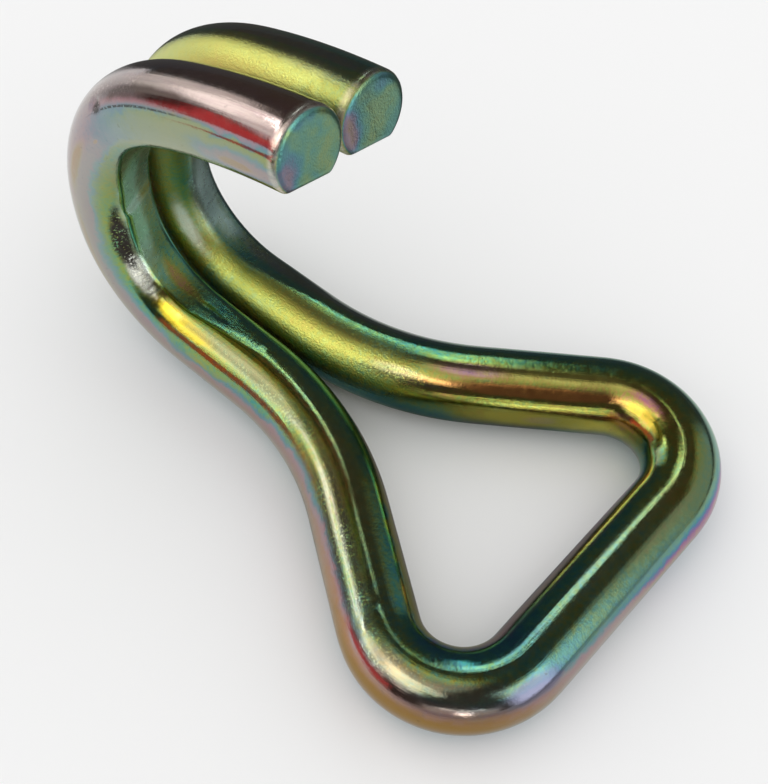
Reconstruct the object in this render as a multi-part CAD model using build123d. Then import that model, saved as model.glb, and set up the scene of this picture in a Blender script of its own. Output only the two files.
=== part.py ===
from build123d import *
import math
import os

# Webbing hook of the double J kind, bent cold from one length of round steel wire.
# A triangular eye holds the end of a flat webbing strap. The two legs of the eye close
# to a neck, run on side by side as shanks, and curl over into two prongs.
#
# Frame in millimetres: X across the hook, Y from the eye's bar to the hook, Z up.
# The part lies on its back on Z = 0, on the bar and on the heel of its +X prong,
# with the prongs curling up, and its origin is under the middle of its box.

# Wire
wire_diameter = 10.0
wire_radius = wire_diameter / 2

# Eye, measured on the wire's centreline unless a line says otherwise
eye_inside_width = 37.0        # clear width at its widest, for webbing 35 wide
eye_corner_radius = 9.8
neck_from_bar = 38.4           # middle of the bar to the point where the legs meet the shanks
neck_radius = 37.0
shank_gap = 0.3                # clear gap between the two shanks, and between the prongs

# Hook, from the neck to the tips
shank_length = 22.2            # neck point to the start of the heel bend
heel_radius = 13.8
heel_turn = 79.8               # degrees
bowl_radius = 28.0
bowl_turn = 75.2               # degrees
tip_radius = 80.0
tip_length = 18.8              # along the prong, from the bowl to the cropped end

# The former pressed the inside of both prongs flat, a little askew
flat_depth = 1.2               # off the round, from the heel to the end
flat_skew = 14.0               # degrees round the wire, towards -X
end_edge_radius = 0.5          # rolled rim of the cropped ends

# The prongs were bent one after the other and differ a little. In each pair the -X prong
# has the first value and the +X prong the second.
shank_lift = (1.8, -1.8)       # degrees out of the plane of the eye
heel_springback = (-3.8, 3.8)  # degrees added to the heel's turn
crop_difference = (1.0, -1.0)  # added to the tip's length

shank_x = wire_radius + shank_gap / 2
SIDES = (-1, 1)


def leg_angle():
    """Direction of the +X leg from its corner to the neck, in the plane of the eye."""
    centre_x = eye_inside_width / 2 + wire_radius - eye_corner_radius
    across = shank_x - centre_x
    along = neck_from_bar - eye_corner_radius
    reach = math.hypot(across, along)
    return math.atan2(along, across) + math.asin(eye_corner_radius / reach)


def corner_x():
    """Where the bar's line and the leg's line would meet without their bend."""
    return shank_x - neck_from_bar / math.tan(leg_angle())


def straight_shank():
    """Length of the shank between the end of the neck bend and the start of the heel."""
    neck_turn = leg_angle() - math.pi / 2
    return shank_length - neck_radius * math.tan(neck_turn / 2)


def directions(tilt):
    """Travel direction and inward direction of a prong that climbs at a tilt in degrees."""
    lean = math.radians(tilt)
    travel = Vector(0, math.cos(lean), math.sin(lean))
    inward = Vector(0, -math.sin(lean), math.cos(lean))
    return travel, inward


def shank_end(side):
    """Centre of the wire where the shank ends and the heel bend starts."""
    travel, _ = directions(shank_lift[SIDES.index(side)])
    return Vector(side * shank_x, neck_from_bar, 0) + travel * shank_length


def eye_and_shanks():
    """The bar, both corners, both legs, the neck bends and the straight shanks, all round."""
    route = FilletPolyline(
        shank_end(-1),
        Vector(-shank_x, neck_from_bar, 0),
        Vector(-corner_x(), 0, 0),
        Vector(corner_x(), 0, 0),
        Vector(shank_x, neck_from_bar, 0),
        shank_end(1),
        radius=[neck_radius, eye_corner_radius, eye_corner_radius, neck_radius],
    )
    section = Plane(origin=route @ 0, z_dir=route % 0) * Circle(wire_radius)
    return sweep(section, path=route)


def run_out(side):
    """Wedge over the straight shank that takes the pressed flat from full depth to nothing."""
    travel, inward = directions(shank_lift[SIDES.index(side)])
    skew = math.radians(flat_skew)
    normal = inward * math.cos(skew) + Vector(-1, 0, 0) * math.sin(skew)
    length = straight_shank()
    start = shank_end(side) + normal * (wire_radius - flat_depth)
    backwards = (normal * flat_depth - travel * length).normalized()
    across = normal.cross(travel)
    face = Plane(origin=start, x_dir=backwards, z_dir=across.cross(backwards))
    overrun = flat_depth
    chord = 2 * math.sqrt(wire_radius ** 2 - (wire_radius - flat_depth) ** 2)
    size = (overrun + math.hypot(length, flat_depth), chord + shank_gap, 2 * flat_depth)
    block = Box(*size, align=(Align.MIN, Align.CENTER, Align.MIN))
    return face * Pos(-overrun, 0, 0) * block


def pressed_section(place, travel):
    """The wire's section with the flat of the former, at a place on the centreline."""
    pad = Pos(0, -(2 * wire_radius - flat_depth)) * Rectangle(2 * wire_diameter, wire_diameter)
    section = Circle(wire_radius) - Rot(0, 0, -flat_skew) * pad
    return Plane(origin=place, x_dir=(1, 0, 0), z_dir=travel) * section


def prong(side):
    """Heel, bowl and tip of one prong, each an arc of the pressed section."""
    index = SIDES.index(side)
    tip_turn = math.degrees((tip_length + crop_difference[index]) / tip_radius)
    bends = [
        (heel_radius, heel_turn + heel_springback[index]),
        (bowl_radius, bowl_turn),
        (tip_radius, tip_turn),
    ]
    tilt = shank_lift[index]
    place = shank_end(side)
    pieces = []
    for radius, turn in bends:
        travel, inward = directions(tilt)
        centre = place + inward * radius
        pieces.append(revolve(pressed_section(place, travel), Axis(centre, (1, 0, 0)), turn))
        tilt += turn
        place = centre - directions(tilt)[1] * radius
    tip = pieces[-1]
    cropped_end = tip.faces().sort_by(Axis(place, directions(tilt)[0]))[-1]
    pieces[-1] = fillet(cropped_end.edges(), end_edge_radius)
    return pieces


def resting_pitch():
    """Angle in degrees that brings the bar and the +X heel down to one level."""
    _, inward = directions(shank_lift[1])
    centre = shank_end(1) + inward * heel_radius
    reach = math.hypot(centre.Y, centre.Z)
    return math.degrees(math.asin(heel_radius / reach) - math.atan2(centre.Z, centre.Y))


def wire_hook():
    """The whole hook as one solid, lying on its back."""
    hook = eye_and_shanks()
    for side in SIDES:
        hook -= run_out(side)
    for side in SIDES:
        for bend in prong(side):
            hook += bend
    return Rot(resting_pitch(), 0, 0) * hook


hook = wire_hook()
box = hook.bounding_box()
middle = box.center()
hook = Pos(-middle.X, -middle.Y, -box.min.Z) * hook

os.makedirs("parts", exist_ok=True)
export_step(hook, "parts/wire_hook.step")

bar_centre = Pos(-middle.X, -middle.Y, -box.min.Z).position
print("box", box.size)
print("middle of the bar", bar_centre, "straight shank", straight_shank())
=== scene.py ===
# %% [markdown]
# # A webbing hook of bent wire
#
# The real object is one length of round steel wire, ten millimetres thick. A press bends it cold:
# first the triangular eye for the strap, then both prongs over a former. It is zinc plated after
# that and dipped in a yellow chromate bath, which leaves a very thin clear film. Light that bounces
# off both sides of the film gives the greens, pinks and yellows that drift over the metal.
#
# The lesson builds it in that order: camera, wire, former marks, cropped ends, finish, studio.

# %% The frame that the CAD model gives
import math

import bpy
import numpy as np
from mathutils import Matrix, Vector


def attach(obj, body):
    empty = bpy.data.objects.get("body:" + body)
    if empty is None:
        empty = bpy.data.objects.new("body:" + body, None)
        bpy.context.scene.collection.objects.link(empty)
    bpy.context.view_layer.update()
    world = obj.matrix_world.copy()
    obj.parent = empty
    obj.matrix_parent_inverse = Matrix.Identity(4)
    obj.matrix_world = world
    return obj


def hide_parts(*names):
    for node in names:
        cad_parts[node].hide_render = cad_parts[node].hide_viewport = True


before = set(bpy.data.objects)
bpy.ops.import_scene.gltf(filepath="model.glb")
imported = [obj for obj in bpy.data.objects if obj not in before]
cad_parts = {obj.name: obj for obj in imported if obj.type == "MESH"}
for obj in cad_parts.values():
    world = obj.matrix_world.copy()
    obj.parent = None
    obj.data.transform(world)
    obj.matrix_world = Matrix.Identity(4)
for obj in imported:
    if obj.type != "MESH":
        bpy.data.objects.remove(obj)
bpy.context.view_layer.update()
scene = bpy.context.scene

# %% [markdown]
# ## The camera
#
# The photograph was taken from close by and from high up on the left, so the cropped ends look
# larger than the bar. The place and the turn of the camera come from fitting the CAD model's
# outline to the picture. A camera's own axes are right, up and backwards, so those three make the
# columns of its matrix.

# %% Camera at the photograph's place
IMAGE_WIDTH = 768
IMAGE_HEIGHT = 784
FOCAL_PIXELS = 1600.0
SENSOR_MM = 36.0

CAMERA_PLACE = Vector((-0.08410, -0.07267, 0.17362))
CAMERA_RIGHT = Vector((0.6544, -0.7559, 0.0180))
CAMERA_AHEAD = Vector((0.4322, 0.3544, -0.8292))
look = CAMERA_AHEAD.normalized()
right = (CAMERA_RIGHT - CAMERA_RIGHT.dot(look) * look).normalized()
turn = Matrix((right, right.cross(look), -look)).transposed()
lens = bpy.data.cameras.new("photo_camera")
lens.sensor_width = SENSOR_MM
lens.lens = FOCAL_PIXELS * SENSOR_MM / max(IMAGE_WIDTH, IMAGE_HEIGHT)
lens.clip_start = 0.01
lens.clip_end = 20.0
camera = bpy.data.objects.new("photo_camera", lens)
camera.matrix_world = Matrix.Translation(CAMERA_PLACE) @ turn.to_4x4()
scene.collection.objects.link(camera)
scene.camera = camera
print("lens", round(lens.lens, 2), "mm")

# %% [markdown]
# ## The route of the wire
#
# The wire's centreline is a chain of straight runs and arcs, the same ones as in the CAD source.
# Each stretch is written once as a length or a turn, and the two prongs differ only by the small
# errors that bending left in them. Lengths are metres here, because the frame is in metres.

# %% Sizes of the wire and its bends
WIRE_RADIUS = 0.00497          # a hair under the CAD wire, so that dense rings stay in its box
EYE_HALF_WIDTH = 0.0235        # to the wire's centreline
CORNER_RADIUS = 0.0098
NECK_FROM_BAR = 0.0384
NECK_RADIUS = 0.037
SHANK_X = 0.00515
SHANK_LENGTH = 0.0222
HEEL_RADIUS = 0.0138
HEEL_TURN = math.radians(79.8)
BOWL_RADIUS = 0.028
BOWL_TURN = math.radians(75.2)
TIP_RADIUS = 0.080
TIP_LENGTH = 0.0188
SHANK_LIFT = {-1: math.radians(1.8), 1: math.radians(-1.8)}
SPRINGBACK = {-1: math.radians(-3.8), 1: math.radians(3.8)}
CROP = {-1: 0.001, 1: -0.001}
RIM_RADIUS = 0.0009            # rolled rim of a cropped end
BAR_CENTRE = Vector((0.0, -0.037395, 0.005))
print("wire", 2000 * WIRE_RADIUS, "mm, eye", 2000 * EYE_HALF_WIDTH, "mm between centrelines")

# %% Angles that follow from the sizes


def leg_angle():
    """Direction of the +X leg from the bar's line, in the plane of the eye."""
    across = SHANK_X - (EYE_HALF_WIDTH - CORNER_RADIUS)
    along = NECK_FROM_BAR - CORNER_RADIUS
    reach = math.hypot(across, along)
    return math.atan2(along, across) + math.asin(CORNER_RADIUS / reach)


def resting_pitch():
    """Turn about X that lays the bar and the +X heel on the floor."""
    lift = SHANK_LIFT[1]
    centre_y = NECK_FROM_BAR + SHANK_LENGTH * math.cos(lift) - HEEL_RADIUS * math.sin(lift)
    centre_z = SHANK_LENGTH * math.sin(lift) + HEEL_RADIUS * math.cos(lift)
    reach = math.hypot(centre_y, centre_z)
    return math.asin(HEEL_RADIUS / reach) - math.atan2(centre_z, centre_y)


LEG = leg_angle()
PITCH = resting_pitch()
CORNER_X = SHANK_X - NECK_FROM_BAR / math.tan(LEG)
LAID = Matrix.Rotation(PITCH, 3, "X")
print("leg", round(math.degrees(LEG), 2), "pitch", round(math.degrees(PITCH), 3), "degrees")

# %% [markdown]
# ## Sweeping the section with Spin
#
# A bent wire is a circle carried along a line. A curve with a round bevel would do it in one step,
# but its rings can't be pressed flat or marked afterwards without losing track of them. Spin
# carries a ring of vertices round an axis in even steps, just as the real bend does, and Extrude
# draws the straight runs between the bends. The hook is built from the middle of the bar outwards,
# once for each side.

# %% A ring for the section, standing across the bar
RING_POINTS = 64
RING_STEP = 0.0011


def clear_selection():
    """Nothing selected and nothing active, so the next operator acts only on what it is given."""
    bpy.ops.object.select_all(action="DESELECT")
    bpy.context.view_layer.objects.active = None


clear_selection()
bpy.ops.mesh.primitive_circle_add(
    vertices=RING_POINTS,
    radius=WIRE_RADIUS,
    fill_type="NOTHING",
    location=BAR_CENTRE,
    rotation=(0.0, math.pi / 2, 0.0),
)
wire = bpy.context.object
wire.name = "hook_wire"
wire.data.name = "hook_wire"
bpy.ops.object.transform_apply(location=True, rotation=True, scale=True)
bpy.ops.object.mode_set(mode="EDIT")
bpy.ops.mesh.select_mode(type="VERT")
print("section of", RING_POINTS, "points,", round(2000 * WIRE_RADIUS, 2), "mm across")

# %% Straight runs and bends, which also note each ring's place
stations = []


def note(side, place, heading, inward):
    """Keeps the centre and the directions of one ring."""
    stations.append((side, place.copy(), heading.copy(), inward.copy()))


def run(side, place, heading, inward, length):
    """Draws the selected ring straight ahead in even steps."""
    steps = max(1, round(length / RING_STEP))
    step = heading * (length / steps)
    bpy.ops.mesh.extrude_repeat(steps=steps, offset=step, scale_offset=1.0)
    for _ in range(steps):
        place = place + step
        note(side, place, heading, inward)
    return place


def bend(side, place, heading, inward, axis, radius, turn):
    """Carries the selected ring round a former of the given radius at the wire's centreline.
    Spin turns clockwise about its axis, so its angle has the other sign."""
    centre = place + axis.cross(heading) * radius
    steps = max(1, round(radius * turn / RING_STEP))
    bpy.ops.mesh.spin(steps=steps, angle=-turn, center=centre, axis=axis)
    step = Matrix.Rotation(turn / steps, 3, axis)
    for _ in range(steps):
        place = centre + step @ (place - centre)
        heading = step @ heading
        inward = step @ inward
        note(side, place, heading, inward)
    return place, heading, inward


# %% The whole of one side, from the middle of the bar to the cropped end


def turn_between(before, after):
    """Axis and angle that take one direction to another."""
    axis = before.cross(after)
    return axis.normalized(), before.angle(after)


def draw_side(side):
    """Bar, corner, leg, neck, shank, heel, bowl and tip of one side."""
    lift = SHANK_LIFT[side]
    bar = Vector((side, 0, 0))
    leg = LAID @ Vector((side * math.cos(LEG), math.sin(LEG), 0))
    shank = LAID @ Vector((0, math.cos(lift), math.sin(lift)))
    up = LAID @ Vector((0, 0, 1))
    corner_axis, corner_turn = turn_between(bar, leg)
    neck_axis, neck_turn = turn_between(leg, shank)
    corner_trim = CORNER_RADIUS * math.tan(corner_turn / 2)
    neck_trim = NECK_RADIUS * math.tan(neck_turn / 2)
    leg_length = math.hypot(CORNER_X - SHANK_X, NECK_FROM_BAR)

    place = BAR_CENTRE.copy()
    place = run(side, place, bar, up, CORNER_X - corner_trim)
    place, heading, up = bend(side, place, bar, up, corner_axis, CORNER_RADIUS, corner_turn)
    place = run(side, place, heading, up, leg_length - corner_trim - neck_trim)
    place, heading, up = bend(side, place, heading, up, neck_axis, NECK_RADIUS, neck_turn)
    place = run(side, place, heading, up, SHANK_LENGTH - neck_trim)
    heel_turn = HEEL_TURN + SPRINGBACK[side]
    tip_turn = (TIP_LENGTH + CROP[side] - RIM_RADIUS) / TIP_RADIUS
    prong = ((HEEL_RADIUS, heel_turn), (BOWL_RADIUS, BOWL_TURN), (TIP_RADIUS, tip_turn))
    for radius, turn in prong:
        place, heading, up = bend(side, place, heading, up, Vector((1, 0, 0)), radius, turn)
    return place, heading


note(0, BAR_CENTRE, Vector((1, 0, 0)), LAID @ Vector((0, 0, 1)))
bpy.ops.mesh.select_all(action="SELECT")
tip_ends = {1: draw_side(1)}

# %% The other side starts again from the ring in the middle of the bar
RING_THICKNESS, RING_REACH = 1e-5, 1.02 * WIRE_RADIUS


def select_ring(centre, heading):
    """Selects the vertices that lie in the plane of one ring and no further from its centre than
    the wire's own radius, because the other prong is only 0.3 mm away."""
    bpy.ops.object.mode_set(mode="EDIT")
    bpy.ops.mesh.select_all(action="DESELECT")
    bpy.ops.object.mode_set(mode="OBJECT")
    for vertex in wire.data.vertices:
        offset = vertex.co - centre
        flat = abs(offset.dot(heading)) < RING_THICKNESS
        vertex.select = flat and offset.length < RING_REACH
    bpy.ops.object.mode_set(mode="EDIT")


select_ring(BAR_CENTRE, Vector((1, 0, 0)))
tip_ends[-1] = draw_side(-1)
bpy.ops.object.mode_set(mode="OBJECT")
for side, (end, heading) in tip_ends.items():
    print("tip", side, [round(1000 * value, 2) for value in end])
print("rings", len(stations), "vertices", len(wire.data.vertices))

# %% One level of subdivision, applied
clear_selection()
wire.select_set(True)
bpy.context.view_layer.objects.active = wire
smoother = wire.modifiers.new("finer", "SUBSURF")
smoother.levels = 1
smoother.boundary_smooth = "ALL"
bpy.ops.object.modifier_apply(modifier=smoother.name)
print("after subdivision", len(wire.data.vertices), "vertices")

# %% [markdown]
# ## Where each vertex lay on the straight wire
#
# Marks, draw lines and stains follow the wire and not the room. So each vertex is given its place
# on the wire as it was before bending: how far along it lies, counted from the middle of the bar,
# and where it lies in the round section, outwards and upwards. The nearest ring tells all three.
# The same numbers are kept on the mesh as an attribute, and the materials read them later.

# %% Unbending the wire in numbers
station_side, station_place, station_heading, station_inward = [
    np.array(column, float) for column in zip(*stations)
]
station_along = np.zeros(len(stations))
for side in (1, -1):
    rings = np.r_[0, np.flatnonzero(station_side == side)]
    gaps = np.linalg.norm(np.diff(station_place[rings], axis=0), axis=1)
    station_along[rings[1:]] = side * np.cumsum(gaps)
station_heading[station_side < 0] *= -1
station_outward = np.cross(station_heading, station_inward)
directions = (station_heading, station_outward, station_inward)
SLICE = 4000                   # points at a time, so that the table of distances stays small


def nearest_rings(points):
    """Index of the ring whose centre is nearest to each point, worked out in slices."""
    nearest = np.empty(len(points), int)
    for start in range(0, len(points), SLICE):
        part = points[start:start + SLICE]
        apart = np.linalg.norm(part[:, None] - station_place[None], axis=2)
        nearest[start:start + SLICE] = apart.argmin(1)
    return nearest


def unbend(points):
    """Nearest ring of each point, and its place ahead of the ring, outward, inward and along."""
    ring = nearest_rings(points)
    offset = points - station_place[ring]
    ahead, outward, inward = [(offset * each[ring]).sum(1) for each in directions]
    return ring, ahead, outward, inward, station_along[ring] + ahead


def read_points(mesh):
    """The vertex places of a mesh as an array."""
    points = np.empty(len(mesh.vertices) * 3, np.float32)
    mesh.vertices.foreach_get("co", points)
    return points.reshape(-1, 3).astype(float)


ring, ahead, outward, inward, along = unbend(read_points(wire.data))
print("wire from", round(1000 * along.min(), 1), "to", round(1000 * along.max(), 1), "mm")

# %% [markdown]
# ## The flat that the former pressed
#
# Bending squeezed the inside of both prongs flat. It is a shallow facet that runs out along the
# shank. The wire turned a little in the former, so the facet leans to one side in the heels and to
# the other side at the tips, and twists in between. The die also left its edge across the -X heel,
# as a low step. A Boolean would leave a razor edge and couldn't twist. Here every vertex above the
# facet's plane is lowered onto it, with a smooth minimum that rolls the edge over.

# %% The flat's sizes
TIP_DEPTH, HEEL_DEPTH = 0.0012, 0.0008
FLAT_ROLL = 0.0003             # how softly its edges turn over
TIP_LEAN = -14                 # degrees towards +X, at the tips
HEEL_LEAN = {-1: 17, 1: 26}    # and in the heels, per side
TWIST_RANGE = (0.112, 0.132)   # along the wire
DIE_FROM, DIE_LENGTH = 0.1086, 0.0012    # where the die's edge climbs across the -X heel
DIE_STEP = 0.00038

lengths = {}
for side in (-1, 1):
    tip_part = TIP_LENGTH + CROP[side]
    heel_part = HEEL_RADIUS * (HEEL_TURN + SPRINGBACK[side])
    lengths[side] = station_along[station_side == side][-1]
    lengths[side] -= side * (tip_part - RIM_RADIUS + heel_part + BOWL_RADIUS * BOWL_TURN)
neck_trim = NECK_RADIUS * math.tan((LEG - math.pi / 2) / 2)
STRAIGHT_SHANK = SHANK_LENGTH - neck_trim
print("the flat runs out over", round(1000 * STRAIGHT_SHANK, 1), "mm of shank")

# %% Pressing it in


def ease(value, start, end):
    """Smooth climb from 0 at the start to 1 at the end."""
    share = np.clip((value - start) / (end - start), 0, 1)
    return share * share * (3 - 2 * share)


def smooth_minimum(value, limit, roll):
    """The lesser of two numbers, rounded where they are nearly the same."""
    near = np.clip(1 - np.abs(value - limit) / roll, 0, 1)
    return np.minimum(value, limit) - 0.25 * roll * near ** 2


side_of = np.where(along < 0, -1, 1)
heel_start = np.where(side_of < 0, lengths[-1], lengths[1])
past_heel = side_of * (along - heel_start)
heel_lean = np.where(side_of < 0, HEEL_LEAN[-1], HEEL_LEAN[1])
twist = ease(np.abs(along), *TWIST_RANGE)
depth = HEEL_DEPTH + (TIP_DEPTH - HEEL_DEPTH) * twist
die_edge = np.clip((-along - DIE_FROM) / DIE_LENGTH, 0, 1) * (1 - twist)
depth += DIE_STEP * ease(die_edge, 0, 1)
depth *= np.clip(1 + past_heel / STRAIGHT_SHANK, 0, 1)
skew = np.radians(heel_lean + (TIP_LEAN - heel_lean) * twist)
# +X is outward on the +X side and points at the other prong on the -X side
lean = side_of * np.sin(skew)
height = inward * np.cos(skew) + outward * lean
pressed = smooth_minimum(height, WIRE_RADIUS - depth, FLAT_ROLL)
pressed = np.where(depth > 0, np.minimum(pressed, height), height)
drop = pressed - height
inward = inward + drop * np.cos(skew)
outward = outward + drop * lean
print("deepest press", round(-1000 * drop.min(), 2), "mm")

# %% [markdown]
# ## Marks of the tools
#
# The bending tools left their edges in the wire: a low step along the side of the -X prong that
# starts at a notch, a nick where its flat begins, a ding on its shank and a crescent where the
# leg's bend starts. All of them are a few tenths of a millimetre deep, so one number per vertex, how
# far it sinks towards the wire's centre, is enough. Places are given along the wire in millimetres
# and round it in degrees, where 0 is the upper side and 90 the outer one.

# %% Sinking the marks in
around = np.degrees(np.arctan2(outward, inward))
along_mm = 1000 * along


def oval(middle, angle, half_length, half_width):
    """1 in the middle of an oval patch on the wire, 0 outside it."""
    away = np.hypot((along_mm - middle) / half_length, (around - angle) / half_width)
    return 1 - ease(away, 0.25, 1.0)


# middle, angle, half length, half width, depth in millimetres
DENTS = (
    (-109.6, 33, 2, 9, 0.24), (-106.2, 38, 1.6, 8, 0.1), (-103.4, 34, 1.2, 7, 0.12),
    (-101, 42, 1.4, 8, 0.09), (-98.6, 30, 1.1, 6, 0.08), (-84.6, -15, 2.6, 10, 0.26),
    (-82, -12, 1.6, 6, 0.14), (-93.4, 27, 0.7, 12, 0.05), (103.5, -6, 2.4, 7, 0.08),
    (107, -11, 1.5, 6, 0.1), (-129.3, 132, 1.1, 13, 0.32), (26, -28, 0.9, 5, 0.06),
    (35, -42, 0.8, 4, 0.05), (61.5, -34, 1, 6, 0.07), (155.5, 176, 1.2, 6, 0.06),
)
sink = np.zeros(len(around))
for *where, deep in DENTS:
    sink += deep * oval(*where)
print(len(DENTS), "dents, deepest", round(sink.max(), 2), "mm")

# %% The step and the crescent
# the side of the prong sits a tenth of a millimetre lower than its top, from the notch to the end
STEP_FALL, STEP_RISE, STEP_FADE, STEP_DEEP = (112, 117), (119, 121.5), (-131, -129), 0.10
step_side = ease(around, *STEP_FALL) * (1 - ease(around, *STEP_RISE))
sink += STEP_DEEP * step_side * (1 - ease(along_mm, *STEP_FADE))
# a groove across the leg, whose ends are swept back
GROOVE_AT, GROOVE_ANGLE, GROOVE_WIDE, GROOVE_DEEP = -36.4, 12, 0.55, 0.07
GROOVE_HALF, GROOVE_SWEEP, GROOVE_FADE = 26, 1.6, (22, 34)
off_middle = np.abs(around - GROOVE_ANGLE)
crescent = along_mm - GROOVE_AT - GROOVE_SWEEP * (off_middle / GROOVE_HALF) ** 2
groove = GROOVE_DEEP * np.exp(-(crescent / GROOVE_WIDE) ** 2)
sink += groove * (1 - ease(off_middle, *GROOVE_FADE))
sink = 0.001 * sink
outward = outward * (1 - sink / WIRE_RADIUS)
inward = inward * (1 - sink / WIRE_RADIUS)
moved = station_place[ring]
for amount, direction in zip((ahead, outward, inward), directions):
    moved = moved + amount[:, None] * direction[ring]
wire.data.vertices.foreach_set("co", moved.astype(np.float32).ravel())
wire.data.update()
print(int((sink > 1e-6).sum()), "vertices sunk by a micrometre or more")

# %% [markdown]
# ## Cropped ends
#
# Shears cut the wire off, and tumbling and the bending tool rolled the cut's rim over. The rim is a
# quarter circle in section, made from the open ring by extruding it inwards a few times. The face
# inside it is dished by a tenth of a millimetre, and its last ring is merged to one point.

# %% Rolled rims and dished faces
RIM_STEPS = 5
# share of the face's radius, depth of the dish
FACE_RINGS = ((0.9, 0.00003), (0.72, 0.00007), (0.5, 0.0001), (0.25, 0.00012), (0.06, 0.00012))


def close_end(centre, heading):
    """Rolls the rim of one open end inwards and closes its face."""
    select_ring(centre, heading)
    radius = WIRE_RADIUS
    reach = 0.0
    profile = []
    for step in range(1, RIM_STEPS + 1):
        angle = math.pi / 2 * step / RIM_STEPS
        inset = RIM_RADIUS * (1 - math.cos(angle))
        profile.append((WIRE_RADIUS - inset, RIM_RADIUS * math.sin(angle)))
    face = WIRE_RADIUS - RIM_RADIUS
    profile += [(face * share, RIM_RADIUS - dish) for share, dish in FACE_RINGS]
    for new_radius, new_reach in profile:
        bpy.ops.mesh.extrude_edges_move(
            TRANSFORM_OT_translate={"value": heading * (new_reach - reach)}
        )
        bpy.ops.transform.resize(
            value=(new_radius / radius,) * 3,
            center_override=centre + heading * new_reach,
        )
        radius, reach = new_radius, new_reach
    bpy.ops.mesh.merge(type="CENTER")


for side, (end, heading) in tip_ends.items():
    close_end(end, heading)
bpy.ops.mesh.select_all(action="SELECT")
bpy.ops.mesh.normals_make_consistent(inside=False)
bpy.ops.object.mode_set(mode="OBJECT")
bpy.ops.object.shade_smooth()
print("closed wire", len(wire.data.vertices), "vertices", len(wire.data.polygons), "faces")

# %% [markdown]
# ## What the mesh tells its material
#
# A texture in room coordinates would cut straight through the bends, and unwrapping a long tube
# leaves a seam. The numbers from the unbending do better: three attributes say where a point lay on
# the straight wire, which cropped face it is on, and whether it is on a rolled rim. The ends have
# new vertices by now, so everything is measured once more.

# %% Keeping each vertex's place on the straight wire as an attribute
FACE_FROM, FACE_BLEND = 0.0006, 0.0001    # past the last ring, where the cropped face starts
RIM_BLEND = 0.0003                        # before it, where the rolled rim starts


def keep(name, values, kind="FLOAT", field="value"):
    """Stores one number or vector for each vertex on the mesh."""
    stored = wire.data.attributes.new(name, kind, "POINT")
    stored.data.foreach_set(field, values.astype(np.float32).ravel())


_, _, outward, inward, along = unbend(read_points(wire.data))
keep("straight", np.stack([outward, along, inward], 1), "FLOAT_VECTOR", "vector")
cap_start = np.where(along < 0, -station_along.min(), station_along.max())
past_cap = np.abs(along) - cap_start
cropped = np.sign(along) * np.clip((past_cap - FACE_FROM) / FACE_BLEND, 0, 1)
keep("cropped_end", cropped)
rolled = np.clip((past_cap + RIM_BLEND) / RIM_BLEND, 0, 1) * (1 - np.abs(cropped))
keep("rolled_rim", rolled)
print("vertices on the faces", int((cropped != 0).sum()), "and on the rims", int((rolled > 0).sum()))

# %% The wire takes the place of the CAD node
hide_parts("wire_hook")
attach(wire, "root")
print("size", [round(1000 * value, 2) for value in wire.dimensions])

# %% [markdown]
# ## The chromate film
#
# The film is a few hundred nanometres thick, and its colour depends on how thick it is: gold, then
# purple, teal, yellow-green, pink, and so on round again. It also shifts towards the thinner colour
# where the surface turns away from the eye, which gives the pink outlines. Painting rainbow bands
# would freeze them in place. Blender's Principled shader works the colours out itself from a film
# thickness, but only on a surface that isn't metal. So a bare metal and a black glassy surface with
# the film are mixed: the first gives the zinc's own grey-green, the second the colours.
#
# What has to be drawn is only how the thickness changes over the wire. The bath drained along it
# and the bends were handled differently, so the thickness follows four profiles along the wire, on
# its outer side, its upper side, its inner side and its lower side, and noise makes them uneven.

# %% Helpers that add nodes to the tree that is being built
# tree is the material's tree first, then the world's, then the floor's


def new_node(kind, inputs, **properties):
    """A node with its properties set, and its inputs set or linked by their names or numbers."""
    node = tree.nodes.new("ShaderNode" + kind)
    for name, value in properties.items():
        setattr(node, name, value)
    for name, value in inputs.items():
        if isinstance(value, bpy.types.NodeSocket):
            tree.links.new(value, node.inputs[name])
        else:
            node.inputs[name].default_value = value
    return node


def math_node(operation, *values):
    """A Math node with numbers or sockets as its inputs."""
    return new_node("Math", dict(enumerate(values)), operation=operation).outputs[0]


def remap(value, low, high, new_low=0, new_high=1, smooth=True):
    """A Map Range node that stays within its new ends."""
    names = ("Value", "From Min", "From Max", "To Min", "To Max")
    inputs = dict(zip(names, (value, low, high, new_low, new_high)))
    kind = "SMOOTHSTEP" if smooth else "LINEAR"
    return new_node("MapRange", inputs, interpolation_type=kind).outputs["Result"]


def noise_node(vector, scale, detail=2, roughness=0.5, distortion=0):
    """A Noise Texture's value at a vector."""
    names = ("Vector", "Scale", "Detail", "Roughness", "Distortion")
    values = (vector, scale, detail, roughness, distortion)
    return new_node("TexNoise", dict(zip(names, values))).outputs["Fac"]


def vector_node(operation, vector, other):
    """A Vector Math node on a vector and a plain one."""
    return new_node("VectorMath", {0: vector, 1: other}, operation=operation).outputs


def stretch(vector, factors):
    """A vector with each part multiplied."""
    return vector_node("MULTIPLY", vector, factors)["Vector"]


def mix_colours(share, under, over, blend_type="MIX"):
    """One colour laid over another, or added to it, as far as a share from 0 to 1 says."""
    inputs = {"Factor": share, "A": under, "B": over}
    return new_node("Mix", inputs, data_type="RGBA", blend_type=blend_type).outputs["Result"]


def mix_shaders(share, under, over):
    """One shader over another, as far as a share says."""
    return new_node("MixShader", {0: share, 1: under, 2: over}).outputs[0]


def ramp(value, stops, smooth=True):
    """A Color Ramp through stops of (position, colour)."""
    node = tree.nodes.new("ShaderNodeValToRGB")
    node.color_ramp.interpolation = "EASE" if smooth else "LINEAR"
    elements = node.color_ramp.elements
    while len(elements) < len(stops):
        elements.new(0.5)
    for element, (position, colour) in zip(elements, stops):
        element.position = position
        element.color = (*colour, 1)
    tree.links.new(value, node.inputs["Fac"])
    return node.outputs["Color"]


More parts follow.
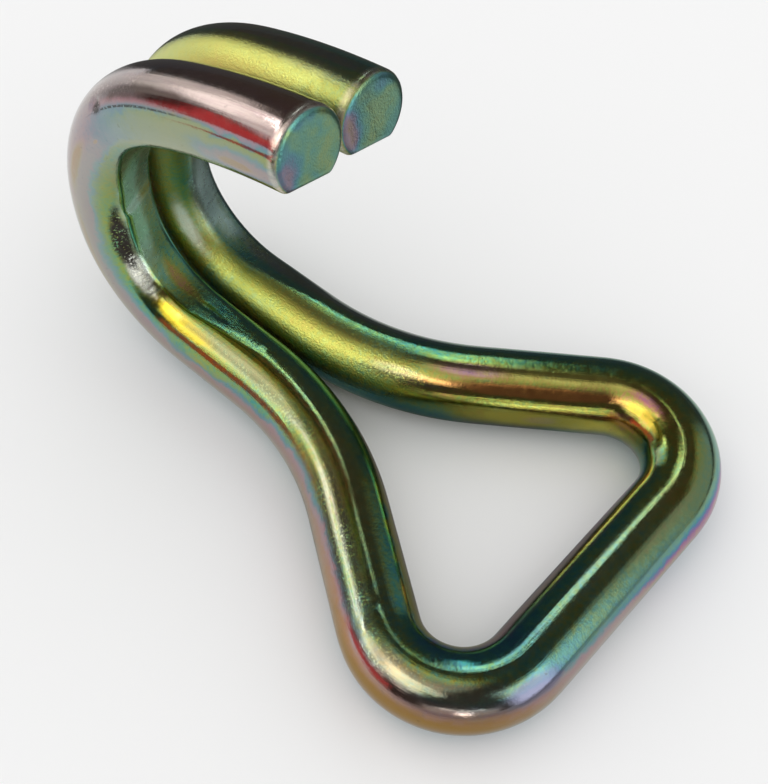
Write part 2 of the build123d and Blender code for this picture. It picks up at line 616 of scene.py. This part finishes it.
# %% Arithmetic with nodes


def times(one, other):
    """Two numbers multiplied."""
    return math_node("MULTIPLY", one, other)


def times_plus(one, other, third):
    """Two numbers multiplied and a third added."""
    return math_node("MULTIPLY_ADD", one, other, third)


def added(one, other):
    """Two numbers added up."""
    return math_node("ADD", one, other)


def greater(one, other):
    """The greater of two numbers, which joins two masks."""
    return math_node("MAXIMUM", one, other)


def outside(mask):
    """1 where a mask is 0, and 0 where it is 1."""
    return math_node("SUBTRACT", 1, mask)


def swing(noise, reach):
    """A noise that swings this far each way. Few of its values are outside of 0.3 to 0.7."""
    return remap(noise, 0.3, 0.7, -reach, reach, smooth=False)


# %% Coordinates along and round the wire
chromate = bpy.data.materials.new("yellow_chromate")
chromate.use_nodes = True
tree = chromate.node_tree
tree.nodes.clear()


def attribute(name):
    """The outputs of one of the mesh's attributes."""
    return new_node("Attribute", {}, attribute_name=name).outputs


wire_place = attribute("straight")["Vector"]
outward_part, along_part, inward_part = new_node("SeparateXYZ", {0: wire_place}).outputs
around_wire = math_node("ARCTAN2", outward_part, inward_part)
radius_square = times_plus(inward_part, inward_part, times(outward_part, outward_part))
radius_part = math_node("SQRT", radius_square)
in_heels = remap(math_node("ABSOLUTE", along_part), 0.078, 0.09)
print("coordinates take", len(tree.nodes), "nodes")

# %% Film thickness in nanometres along the four sides
# (millimetres along the wire from the middle of the bar, nanometres)
UPPER_FILM = (
    (-160, 350), (-126, 396), (-118, 396), (-110, 384), (-102, 364), (-94, 348), (-86, 362),
    (-62, 358), (-50, 360), (-40, 345), (-20, 336), (-14, 322), (-8, 343), (6, 350), (20, 362),
    (26, 366), (42, 363), (50, 362), (60, 356), (72, 356), (82, 354),
    (90, 346), (98, 346), (106, 362), (115, 384), (140, 396), (160, 384),
)
OUTER_FILM = (
    (-160, 366), (-143, 374), (-134, 336), (-125, 292), (-110, 280), (-62, 270), (-47, 260),
    (-38, 248), (-30, 240), (-22, 246), (-13, 276), (0, 276), (20, 292), (50, 300), (100, 330),
    (160, 300),
)
INNER_FILM = (
    (-160, 282), (-145, 280), (-125, 330), (-105, 400), (-60, 414), (-30, 402), (-20, 380),
    (-13, 300), (0, 276), (12, 286), (20, 380), (27, 408), (37, 400), (41, 362), (45, 398),
    (52, 396), (55, 356), (62, 352), (75, 370), (92, 380), (108, 396), (122, 388), (142, 386),
    (160, 378),
)
LOWER_FILM = (
    (-160, 262), (-150, 276), (-140, 296), (-126, 290), (-60, 330), (0, 300), (40, 350),
    (110, 380), (124, 386), (142, 386), (160, 360),
)
# degrees round the wire where the sides' own film begins
SIDE_START = (
    (-160, 56), (-130, 62), (-70, 70), (-55, 60), (-45, 52), (-30, 47), (-18, 50), (-9, 64),
    (20, 68), (30, 72), (160, 72),
)
print("film profiles, the upper one of", len(UPPER_FILM), "stops")

# %% The film from its four sides
FILM_FULL, ANGLE_FULL = 1000, 100    # what white stands for in the two kinds of ramp
HALF_WIRE = 0.160
SIDE_EDGE = (-14, 15)                # degrees, how softly the upper film turns into a side's
LOWER_EDGE = (108, 132)
RAG_FINE, RAG_BROAD = 9, 7           # degrees that noise moves those edges by


def along_profile(stops, full):
    """A number that changes along the wire, drawn as a grey ramp from tip to tip."""
    reach = remap(along_part, -HALF_WIRE, HALF_WIRE, smooth=False)
    half = 1000 * HALF_WIRE
    greys = [((half + at) / (2 * half), (number / full,) * 3) for at, number in stops]
    return ramp(reach, greys, smooth=False)


def blend(low, high, share):
    """low where the share is 0, high where it is 1."""
    gap = math_node("SUBTRACT", high, low)
    return times_plus(gap, share, low)


degrees_round = times(around_wire, 180 / math.pi)
off_top = math_node("ABSOLUTE", degrees_round)
drift = noise_node(stretch(wire_place, (1, 0.6, 1)), 110, 3, 0.55, 0.4)
cloud = noise_node(stretch(wire_place, (1, 0.7, 1)), 330, 4, 0.62, 0.6)
patches = noise_node(wire_place, 240, 2, 0.5, 0.3)
speck = noise_node(wire_place, 1900, 2, 0.6)
ragged = added(added(off_top, swing(cloud, RAG_FINE)), swing(drift, RAG_BROAD))
upper, outer, inner, lower = [
    along_profile(stops, FILM_FULL) for stops in (UPPER_FILM, OUTER_FILM, INNER_FILM, LOWER_FILM)
]
side_film = blend(inner, outer, remap(degrees_round, -5, 5))
side_start = times(along_profile(SIDE_START, ANGLE_FULL), ANGLE_FULL)
beyond = math_node("SUBTRACT", ragged, side_start)
film = blend(upper, side_film, remap(beyond, *SIDE_EDGE))
film = blend(film, lower, remap(ragged, *LOWER_EDGE))
film = times(film, FILM_FULL)
print("the film takes", len(tree.nodes), "nodes so far")

# %% [markdown]
# ## Stains
#
# Where drops of the bath stayed longer, or a neighbour in the basket touched the wire, the film is
# thicker or thinner and the colour jumps. A painted picture could show them, but it would be one
# more file and would blur close up. Each stain is an oval on the unbent wire whose edge is made
# ragged by noise. Inside it the film has another thickness.

# %% Stains with ragged edges
# middle, angle, half length, half width, softness of the edge, nanometres
STAINS = (
    (-154, 86, 6.5, 17, 0.6, 286), (-153.5, 84, 2.4, 6, 0.5, 234), (52, -13, 4, 10, 0.5, 412),
    (28.5, -17, 3, 8, 0.6, 404), (31, -64, 3.5, 9, 0.6, 412), (-91, -18, 4.5, 13, 0.6, 402),
    (-24, 62, 8, 16, 0.7, 262), (-118, 100, 5, 8, 0.7, 240), (-103, 96, 5, 5, 0.7, 236),
    (-126.5, 88, 0.7, 2.5, 0.3, 262), (-96, 108, 3, 8, 0.7, 238), (-80, 64, 4, 9, 0.6, 372),
    (8, 28, 5, 8, 0.8, 372),
)
along_mm_part = times(along_part, 1000)
rag = swing(cloud, 0.22)


def scaled(value, middle, half):
    """How far a value is from a middle, counted in half sizes."""
    return math_node("DIVIDE", math_node("SUBTRACT", value, middle), half)


def patch(middle, angle, half_length, half_width, softness):
    """1 inside a ragged oval on the wire, 0 outside it."""
    lengthways = scaled(along_mm_part, middle, half_length)
    sideways = scaled(degrees_round, angle, half_width)
    square = times_plus(sideways, sideways, times(lengthways, lengthways))
    away = added(math_node("SQRT", square), rag)
    return remap(away, 1 - softness, 1 + softness, 1, 0)


for *where, thickness in STAINS:
    film = blend(film, thickness, patch(*where))
print(len(STAINS), "stains")

# %% [markdown]
# ## The film on the cropped ends and on the outer side
#
# The sheared faces are coarser than drawn wire and took the bath unevenly: teal in the middle and
# pink at one side. Their film is worked out across the face and not round the wire. On the outer
# side of the -X half the colours in the photograph are pale and broad, so the noise is calmer there.

# %% The cropped ends have their own film
PINK_SIDE, TEAL_MIDDLE = 286, 338                  # nanometres
FACE_SWING = (-16, 34)
FACE_REACH = (-0.0038, -0.0012)                    # metres across a cropped face
BROAD_SWING, FINE_SWING, SPECK_SWING = 12, 11, 12  # nanometres, each way
OUTER_CALM, END_CALM = -0.6, -0.75                 # how much of the swing is lost there
BAR_MIDDLE = (-0.01, 0.01)                         # where the pale outer side ends
end_side = attribute("cropped_end")["Fac"]
on_end_face = math_node("ABSOLUTE", end_side)
off_end_face = outside(on_end_face)
towards_x = times(outward_part, end_side)
end_film = remap(towards_x, *FACE_REACH, PINK_SIDE, TEAL_MIDDLE)
end_film = added(end_film, remap(patches, 0.38, 0.62, *FACE_SWING, smooth=False))
film = blend(film, end_film, on_end_face)
on_outer = remap(beyond, *SIDE_EDGE)
on_outer = times(on_outer, remap(along_part, *BAR_MIDDLE, 1, 0))
on_outer = times(on_outer, off_end_face)
crossing = times(on_outer, outside(on_outer))
calm = times_plus(on_outer, OUTER_CALM, 1)
film = times_plus(swing(drift, BROAD_SWING), calm, film)
fine = added(swing(cloud, FINE_SWING), swing(speck, SPECK_SWING))
end_calm = times_plus(on_end_face, END_CALM, 1)
film = times_plus(times(fine, calm), end_calm, film)
print("with its noise and its ends it takes", len(tree.nodes))

# %% [markdown]
# ## The metal under the film
#
# The film hides only a part of the zinc. The metal's own reflection is tinted by the chromate, from
# gold through grey-green to olive, and the tint follows the same thickness, so the two always agree.

# %% The bare metal's tint follows the film
THIN_FILM, THICK_FILM = 200, 480      # the ramp's ends, in nanometres
FILM_TINTS = (
    (0, (0.44, 0.33, 0.07)),
    (0.14, (0.42, 0.22, 0.12)),
    (0.28, (0.38, 0.32, 0.30)),
    (0.42, (0.20, 0.33, 0.30)),
    (0.56, (0.35, 0.34, 0.09)),
    (0.68, (0.40, 0.35, 0.07)),
    (0.82, (0.38, 0.30, 0.22)),
)
tint = ramp(remap(film, THIN_FILM, THICK_FILM, smooth=False), FILM_TINTS)
print(len(FILM_TINTS), "tints")

# %% [markdown]
# ## Rubbed places and painted highlights
#
# Hooks knock against each other in the bath and in the box. On rims, on the outside of bends and
# along the leg the film is rubbed thin and the zinc looks whiter. A mask of ovals and of the rims
# makes the tint paler there and later lets less film through. Several ovals also sit where the
# brightest highlights fall, so there the paler tint is partly wear and partly painted highlight.
# Noise drawn out along the wire breaks the mask into streaks, because things slide along a wire more
# often than round it.

# %% Rubbed places and painted highlights, where the film is thin and the metal is whiter
# middle, angle, half length, half width, softness, how far
# the ovals on both legs, the -X corner, the -X heel and the top of the -X prong are painted
# highlights as well as wear
WEAR_AND_HIGHLIGHTS = (
    (-48, 29, 16, 8, 0.5, 0.8), (-146, 152, 16, 20, 0.6, 0.55), (-96.6, 34, 4, 12, 0.4, 1),
    (-74, 34, 9, 14, 0.6, 0.3), (-16.5, 45, 2.4, 16, 0.4, 0.6), (61, -35, 3, 8, 0.5, 0.6),
    (154, -162, 8, 9, 0.6, 0.4), (99, -12, 6, 9, 0.6, 0.6), (52, -13, 5, 12, 0.5, 0.6),
    (-2, -10, 14, 5, 0.6, 0.3),
)
# the rolled rims are rubbed, and their whiter tint is also a painted highlight along the rims
RIM_WEAR_AND_HIGHLIGHT = 0.8
WEAR_AND_HIGHLIGHT_TINT = (0.62, 0.57, 0.52)
rim = attribute("rolled_rim")["Fac"]
wear_and_highlight = times(rim, RIM_WEAR_AND_HIGHLIGHT)
for *where, share in WEAR_AND_HIGHLIGHTS:
    wear_and_highlight = greater(wear_and_highlight, times(patch(*where), share))
along_grain = noise_node(stretch(wire_place, (1, 0.05, 1)), 2200, 3, 0.6)
wear_and_highlight = times(wear_and_highlight, remap(along_grain, 0.34, 0.56, 0.45, 1))
wear_and_highlight = times(wear_and_highlight, off_end_face)
tint = mix_colours(wear_and_highlight, tint, (*WEAR_AND_HIGHLIGHT_TINT, 1))
print(len(WEAR_AND_HIGHLIGHTS), "rubbed places")

# %% [markdown]
# ## Places of one colour, and painted highlights, reflections and shade
#
# A physical film runs through the whole rainbow wherever its thickness changes fast, but the real
# hook has broad places of a single colour with hardly a fringe, such as the gold patch on its
# shank. There the colour is laid on the metal directly and the film above it fades. The places are
# listed, each as one line of a table: where it is, how large, how strong, what colour.
# Many places in the table are painted light and not the hook's colour: pale tints paint highlights
# and reflections, and dark tints paint shade where the metal would mirror too much light.

# %% Places where colours and painted light and shade lie over the others
# middle, angle, half length, half width, softness, share, colour
COLOURS_AND_PAINTED_LIGHT = (
    (-85.2, 36, 6.4, 12, 0.2, 0.9, (0.58, 0.41, 0.02)),
    (-73, 29, 11, 12, 0.5, 0.75, (0.25, 0.25, 0.17)),
    (140, -145, 18, 28, 0.4, 0.75, (0.85, 0.85, 0.22)),
    (78, -28, 17, 26, 0.5, 0.55, (0.66, 0.62, 0.13)),
    (74, 42, 22, 20, 0.5, 0.6, (0.3, 0.22, 0.27)),
    # painted reflection: a bright tint on the underside of the +X leg, where the floor is darkened
    (42, -82, 12, 22, 0.5, 0.8, (0.95, 0.85, 0.15)),
    (-146, 152, 17, 18, 0.4, 0.6, (0.5, 0.38, 0.36)),
    # painted reflection: the red band that the red wall mirrors on the -X prong
    (-146, 131, 14, 8, 0.4, 0.5, (0.5, 0.11, 0.08)),
    # painted shade: a dark patch on the top of the -X prong
    (-139.5, 139, 8.5, 10, 0.4, 0.9, (0.1, 0.07, 0.06)),
    (-28, 84, 12, 26, 0.5, 0.75, (0.27, 0.16, 0.02)),
    (44, -38, 13, 9, 0.35, 0.9, (0.95, 0.4, 0.14)),
    (40, -12, 10, 11, 0.5, 0.7, (0.95, 0.88, 0.25)),
    (27.5, -38, 5, 9, 0.5, 0.85, (0.4, 0.26, 0.02)),
    (31, -66, 5, 9, 0.4, 0.75, (0.9, 0.5, 0.06)),
    (43, -84, 2, 8, 0.4, 0.5, (0.8, 0.6, 0.4)),
    # painted highlight: a bluish-white streak on the inner side of the +X heel
    (99, -38, 6.5, 11, 0.6, 0.8, (0.95, 1, 0.9)),
    (-27, 38, 9, 22, 0.5, 0.6, (0.5, 0.38, 0.33)),
    # painted shade: the next two places darken the -X corner where it mirrors bright light
    (-28.5, 32, 4, 20, 0.5, 0.8, (0.3, 0.17, 0.13)),
    (-22.8, 27, 5, 12, 0.4, 0.8, (0.14, 0.08, 0.1)),
    # painted reflection: pinkish light along the inner edge of the bar
    (-1, -50, 20, 14, 0.5, 0.7, (0.8, 0.52, 0.42)),
    (-110, 5, 14, 26, 0.5, 0.8, (0.62, 1, 0.85)),
    (101, 25, 10, 30, 0.5, 0.85, (0.75, 1, 0.95)),
    (148, 176, 14, 16, 0.5, 0.6, (0.34, 0.22, 0.38)),
    (-50, -5, 22, 18, 0.6, 0.6, (0.24, 0.27, 0.22)),
    (-145, 95, 14, 26, 0.6, 0.6, (0.34, 0.37, 0.32)),
    (-108, 80, 22, 22, 0.6, 0.5, (0.36, 0.44, 0.38)),
    # painted highlight: a near-white spot on the -X heel
    (-96.8, 33, 4.6, 14, 0.35, 0.85, (0.95, 0.97, 0.9)),
    (0, -2, 21, 13, 0.6, 0.5, (0.46, 0.52, 0.42)),
    (3, 36, 27, 24, 0.5, 0.6, (0.27, 0.44, 0.35)),
    # painted highlight: the dim violet highlight at the -X corner
    (-16, 45, 3, 17, 0.4, 0.85, (0.21, 0.19, 0.29)),
    (80, 105, 60, 46, 0.4, 0.6, (0.34, 0.4, 0.32)),
)
SHEARED_TINT = (0.36, 0.55, 0.42)
SHEARED_SHARE = 0.55
covered = 0
for *where, share, colour in COLOURS_AND_PAINTED_LIGHT:
    mask = times(times(patch(*where), share), off_end_face)
    covered = greater(covered, mask)
    tint = mix_colours(mask, tint, (*colour, 1))
tint = mix_colours(times(on_end_face, SHEARED_SHARE), tint, (*SHEARED_TINT, 1))
print(len(COLOURS_AND_PAINTED_LIGHT), "coloured places")

# %% [markdown]
# ## Satin and polish
#
# Drawn wire is smooth and mirrors the room sharply. Where the bending rollers held it, and on the
# pressed flat, it is satin, and highlights there are wide and soft. One number from 0 to 1 says how
# satin a point is. It drives the roughness and the depth of the grain together.

# %% Where the surface is satin


def angle_band(centre, full, faded):
    """1 near an angle round the wire, 0 away from it, in radians."""
    off_centre = math_node("ABSOLUTE", math_node("SUBTRACT", around_wire, centre))
    return remap(off_centre, full, faded, 1, 0)


LEG_SATIN, HEEL_SATIN, FLAT_SATIN = 0.4, 0.6, 0.7
# metres along the wire where each begins or ends, and its angles round the wire
satin_shank = times(remap(along_part, 0.056, 0.064), angle_band(-0.75, 0.65, 0.9))
far_flank = times(remap(along_part, 0.112, 0.122), angle_band(-2.2, 0.55, 0.85))
leg_end = remap(along_part, -0.0355, -0.0345, 1, 0)
satin_leg = times(remap(along_part, -0.066, -0.058), leg_end)
satin_leg = times(satin_leg, remap(degrees_round, 5, 13))
satin_heel = patch(-96.8, 33, 5, 15, 0.4)
on_flat = remap(radius_part, 0.0046, 0.0049, FLAT_SATIN, 0)
satin = greater(satin_shank, far_flank)
satin = greater(satin, times(satin_leg, LEG_SATIN))
satin = greater(satin, times(satin_heel, HEEL_SATIN))
satin = greater(satin, times(on_flat, in_heels))
print("satin in five places, with", len(tree.nodes), "nodes so far")

# %% [markdown]
# ## Grain
#
# Three things are too small to model: the fine grain of the plating, soft pebbles under it, and
# lines along the wire from the drawing die. All are heights of a few micrometres, so they are added
# up and given to one Bump node. The lines are a noise that is squeezed along the wire.

# %% Grain, pebbles and draw lines as one height
grain = noise_node(wire_place, 4200, 2, 0.65)
pebble = noise_node(wire_place, 1100, 2, 0.5)
lines = noise_node(stretch(wire_place, (1, 0.03, 1)), 2600, 3, 0.6)
GRAIN_POLISHED, GRAIN_SATIN, PEBBLES, LINES = 0.13, 1.15, 0.16, 0.22
BUMP_STRENGTH, BUMP_DISTANCE = 0.4, 0.00015
height = times(grain, remap(satin, 0, 1, GRAIN_POLISHED, GRAIN_SATIN, smooth=False))
height = times_plus(pebble, PEBBLES, height)
height = times_plus(lines, LINES, height)
bump = new_node("Bump", {"Strength": BUMP_STRENGTH, "Distance": BUMP_DISTANCE, "Height": height})
print("bump of", 1000 * BUMP_DISTANCE, "mm")

# %% [markdown]
# ## Grime
#
# Oil and dust stay in dents and scuffs as dark specks. Real dirt is matt and nearly black, so it is
# a shader of its own, and a mask of small specks inside ovals says where it covers the metal.

# %% Grime in the scuffs, as a ragged mask
# middle, angle, half length, half width, softness, how dark
SCUFFS = (
    (-104.4, 36, 6, 14, 0.3, 1), (104, -7, 5, 8, 0.6, 0.6), (-110, 36, 2, 8, 0.5, 0.6),
    (60, -44, 5, 6, 0.6, 0.6), (-72, 33, 10, 10, 0.9, 0.35), (-129.8, 127, 1.1, 9, 0.4, 0.9),
    (-134, 146, 6, 12, 0.8, 0.35), (-137, 121, 8, 1.6, 0.5, 0.8), (-46, 18, 16, 7, 0.9, 0.8),
    (-46, 39, 16, 4, 0.9, 0.8), (70, -8, 16, 7, 0.9, 0.4), (-22, 34, 4, 10, 0.9, 0.4),
    (150, -172, 10, 8, 0.9, 0.4),
)
DUST = 0.25                    # how dark the loose specks are, away from the scuffs
CLOUDED = 0.6                  # how much the specks gather where the coarser noise is high
sparkle = noise_node(wire_place, 3000, 2, 0.6)
dark_specks = remap(times_plus(cloud, CLOUDED, sparkle), 0.58, 0.78)
grime = times(remap(speck, 0.66, 0.78), DUST)
for *where, darkness in SCUFFS:
    spot = times(patch(*where), darkness)
    grime = greater(grime, times(spot, dark_specks))
print(len(SCUFFS), "scuffs")

# %% [markdown]
# ## Putting the shaders together
#
# Metal, film and dirt are three Principled shaders. The film's share is about two thirds on most of
# the wire. It is smaller on the pale outer side, on the cropped faces, on rubbed metal and painted
# highlights, and on the coloured places, among them the painted highlights, reflections and shade.
# Between the upper and the outer side it dips, because its quick change of thickness would draw a
# rainbow line along the whole wire there.

# %% The shaders and their mix
POLISHED, SATIN, SHEARED = 0.11, 0.36, 0.3    # roughness
RIM_ROUGHER = 0.12
roughness = remap(satin, 0, 1, POLISHED, SATIN, smooth=False)
roughness = added(roughness, remap(pebble, 0.3, 0.7, -0.03, 0.05, smooth=False))
roughness = blend(roughness, SHEARED, on_end_face)
roughness = times_plus(rim, RIM_ROUGHER, roughness)
print("roughness from", POLISHED, "to", SATIN)


def shader(name, settings):
    """A Principled shader with the shared bump and its other inputs set or linked."""
    inputs = {**settings, "Normal": bump.outputs[0]}
    return new_node("BsdfPrincipled", inputs, name=name).outputs[0]


zinc = shader("zinc", {"Metallic": 1, "Base Color": tint, "Roughness": roughness})
glassy = shader("film", {
    "Base Color": (0, 0, 0, 1), "IOR": 4, "Roughness": roughness,
    "Thin Film IOR": 1.6, "Thin Film Thickness": film,
})
dirt = shader("dirt", {
    "Base Color": (0.014, 0.009, 0.005, 1), "Roughness": 0.5, "Specular IOR Level": 0.3,
})

# %% How much of each shows
FILM_SHARE = 0.72
COVERED_LOSS = -0.85
film_share = FILM_SHARE
# what takes some of the film away, and how much
for mask, loss in ((on_outer, -0.46), (crossing, -1.1), (on_end_face, -0.2), (wear_and_highlight, -0.45)):
    film_share = times_plus(mask, loss, film_share)
film_share = times(film_share, times_plus(covered, COVERED_LOSS, 1))
coated = mix_shaders(film_share, zinc, glassy)
new_node("OutputMaterial", {"Surface": mix_shaders(grime, coated, dirt)})
wire.data.materials.append(chromate)
print("material with", len(tree.nodes), "nodes")

# %% [markdown]
# ## The studio
#
# Shiny metal shows its surroundings, so the room is half of the material. The photograph's
# highlights say where bright things stood: wide windows on the left and ahead, narrow ones between
# them, and one behind on the right, with a dim ceiling and dark walls. They are drawn on the world
# as soft-edged panels, each by the direction of its middle and its half sizes. Lamps would do it
# too, but a panel on the world has no distance, so one direction means one highlight. Only mirrored
# rays see this room. The floor and the camera get an even white dome, which is the plain soft
# light of a product picture.

# %% A soft-edged panel on the world, by direction
world = bpy.data.worlds.new("studio_room")
scene.world = world
world.use_nodes = True
tree = world.node_tree
tree.nodes.clear()
toward = new_node("TexCoord", {}).outputs["Generated"]


def compass(azimuth, elevation):
    """Unit vector of a direction. Azimuth 0 is +Y and 90 is +X."""
    turn, rise = math.radians(azimuth), math.radians(elevation)
    return Vector((math.sin(turn) * math.cos(rise), math.cos(turn) * math.cos(rise), math.sin(rise)))


def reach_along(axis):
    """How far the looked-at direction goes along an axis."""
    return vector_node("DOT_PRODUCT", toward, axis)["Value"]


def inside_edge(value, edge, softness):
    """1 inside an edge, 0 outside it, a smooth fall between. Only the value is in radians."""
    low, high = math.radians(edge - softness), math.radians(edge + softness)
    return remap(value, low, high, 1, 0)


def panel_mask(azimuth, elevation, half_width, half_height, softness):
    """A rectangle in the sky. Its middle and half sizes are in degrees."""
    middle = compass(azimuth, elevation)
    across = middle.cross(Vector((0, 0, 1))).normalized()
    upward = across.cross(middle)
    sideways = math_node("ARCTAN2", reach_along(across), reach_along(middle))
    rise = math_node("ARCSINE", reach_along(upward))
    wide = inside_edge(math_node("ABSOLUTE", sideways), half_width, softness)
    high = inside_edge(math_node("ABSOLUTE", rise), half_height, softness)
    return times(wide, high)


# %% [markdown]
# ## What stands in the room
#
# Every panel was found the same way. The direction in which each bright place of the photograph
# mirrors the room was worked out from the model, and a panel was put there with the size and the
# colour that the place asks for. The red one is a warm wall low on the left, which draws the red
# line along the shank.

# %% The room's panels
# azimuth, elevation, half width, half height, softness, colour, strength
PANELS = (
    (-32, 30, 30, 11, 3, (1, 1, 0.97), 1),
    (-3, 11, 17, 20, 4, (1, 0.99, 0.95), 0.85),
    (-18, 37.5, 12, 3, 1.2, (1, 1, 1), 3.4),
    (-84, 46, 15, 13, 4, (1, 1, 0.95), 1.7),
    (-66, 42, 23, 18, 5, (1, 1, 0.9), 1.5),
    (-68, 60, 26, 13, 6, (1, 0.98, 0.92), 0.55),
    (-113, 48, 4, 6, 1.5, (0.95, 0.97, 1), 2),
    (-132, 15, 16, 1.5, 0.9, (1, 1, 0.9), 2),
    (-132, 4, 26, 9, 3, (1, 1, 0.95), 0.45),
    (46, 53, 5.5, 4, 1.5, (0.8, 1, 0.97), 1.6),
    (-134, 2, 5, 6, 2.5, (1, 1, 0.97), 3.4),
    (-57, 20, 14, 2, 1.2, (1, 1, 0.85), 1.5),
    (56, 46, 0.9, 17, 0.6, (0.8, 1, 1), 3.6),
    (174, 22, 17, 28, 7, (0.86, 0.94, 1), 1.8),
    (130, 15, 30, 32, 6, (0.95, 1, 1), 0.33),
    (-52, 7, 27, 9, 2.5, (1, 0.12, 0.13), 0.68),
)
print(len(PANELS), "panels in the room")

# %% The dark room, its ceiling and the panels, added up
ROOM_SHADE = (0.07, 0.062, 0.055)
CEILING = (0.86, 0.83, 0.78)
CEILING_MIDDLE = (-75, 75)
CEILING_SIZE = (20, 7)         # half width and softness in degrees
off_middle = math_node("ARCCOSINE", reach_along(compass(*CEILING_MIDDLE)))
total = mix_colours(inside_edge(off_middle, *CEILING_SIZE), (*ROOM_SHADE, 1), (*CEILING, 1))
for *where, colour, strength in PANELS:
    glow = (*[strength * part for part in colour], 1)
    total = mix_colours(panel_mask(*where), total, glow, "ADD")
print("the room takes", len(tree.nodes), "nodes")

# %% What mirrored rays see, and what all others see
DOME_STRENGTH = 1.06


def background(colour, strength=1):
    """A world shader of one colour or of a socket's colours."""
    return new_node("Background", {"Color": colour, "Strength": strength}).outputs[0]


mirrored = new_node("LightPath", {}).outputs["Is Glossy Ray"]
dome = background((1, 1, 1, 1), DOME_STRENGTH)
new_node("OutputWorld", {"Surface": mix_shaders(mirrored, dome, background(total))})
print("white dome of strength", DOME_STRENGTH)

# %% [markdown]
# ## The floor
#
# The hook lies on a plain pale sheet of paper, lit evenly. In the photograph the metal is dark where
# it should mirror bright paper, towards the back right and inside the eye. So in mirrored rays
# only, the sheet darkens in those places, as if a dark table stood there. Its visible shade is even.

# %% Floor
clear_selection()
bpy.ops.mesh.primitive_plane_add(size=4, location=(0, 0, 0))
floor = bpy.context.object
floor.name = "studio_floor"
paper = bpy.data.materials.new("pale_paper")
paper.use_nodes = True
sheet = paper.node_tree.nodes["Principled BSDF"]
sheet.inputs["Roughness"].default_value = 0.9
sheet.inputs["Specular IOR Level"].default_value = 0
print("floor", floor.dimensions.x, "m wide")

# %% The paper darkens in mirrored rays only
PAPER = 0.88
RIGHTWARD, RIGHT_FADE, RIGHT_DEEPEST = compass(62, 0), (0.010, 0.045), 0.08
SIDEWARD, SIDE_FADE = compass(110, 0), (-0.0144, 0.0056)      # right of this line only
BACKWARD, BACK_FADE, BACK_DEEPEST = compass(-150, 0), (0.03, 0.10), 0.42
EYE_MIDDLE, EYE_FADE, EYE_DEEPEST = (0, -0.016, 0), (0.012, 0.026), 0.3
tree = paper.node_tree
floor_place = new_node("TexCoord", {}).outputs["Object"]


def floor_fade(direction, fade, deepest):
    """Goes from one to its deepest shade along a direction on the floor, in metres."""
    far = vector_node("DOT_PRODUCT", floor_place, direction)["Value"]
    return remap(far, *fade, 1, deepest)


right_shade = math_node("SUBTRACT", floor_fade(RIGHTWARD, RIGHT_FADE, RIGHT_DEEPEST), 1)
right_shade = times_plus(right_shade, outside(floor_fade(SIDEWARD, SIDE_FADE, 0)), 1)
from_eye = vector_node("DISTANCE", floor_place, EYE_MIDDLE)["Value"]
shade = times(right_shade, floor_fade(BACKWARD, BACK_FADE, BACK_DEEPEST))
shade = times(shade, remap(from_eye, *EYE_FADE, EYE_DEEPEST, 1))
mirrored = new_node("LightPath", {}).outputs["Is Glossy Ray"]
shade = times_plus(math_node("SUBTRACT", shade, 1), mirrored, 1)
tree.links.new(times(shade, PAPER), sheet.inputs["Base Color"])
floor.data.materials.append(paper)
scene.view_settings.view_transform = "Standard"
print("paper shade", PAPER)
